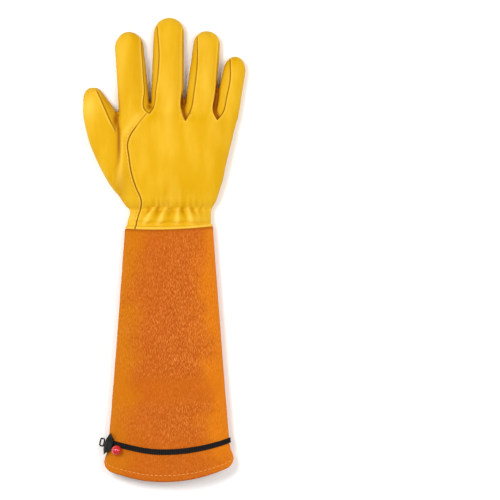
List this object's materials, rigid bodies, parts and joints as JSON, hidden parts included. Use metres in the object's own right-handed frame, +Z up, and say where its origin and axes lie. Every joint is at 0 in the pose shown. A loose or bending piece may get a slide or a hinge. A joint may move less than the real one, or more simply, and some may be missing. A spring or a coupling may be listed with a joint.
{
  "type": "leather gardening glove",
  "caption": "Long gardening glove: a soft leather hand with separate fingers, a gathered wrist and a flared suede cuff closed by a strap with a clasp and a bead.",
  "frame": {"origin": "under the middle of the glove, on the surface that it lies on, palm down", "axes": "+Y from the cuff towards the fingertips, +X towards the little finger, +Z up out of the back of the hand"},
  "size_m": [0.1626, 0.4634, 0.0364],
  "materials": {
    "grain_leather": "soft semi-matte grain leather",
    "suede": "napped split leather",
    "elastic_band": "ribbed woven elastic",
    "black_plastic": "moulded, lightly satin",
    "red_plastic": "moulded, glossy"
  },
  "bodies": {
    "root": {"palm_and_index_panel": "grain_leather", "back_panel": "grain_leather", "thumb": "grain_leather", "fourchette_index_middle": "grain_leather", "fourchette_middle_ring": "grain_leather", "fourchette_ring_little": "grain_leather", "cuff": "suede", "strap": "elastic_band", "clasp": "black_plastic", "clasp_loop": "black_plastic", "bead": "red_plastic"}
  },
  "joints": []
}
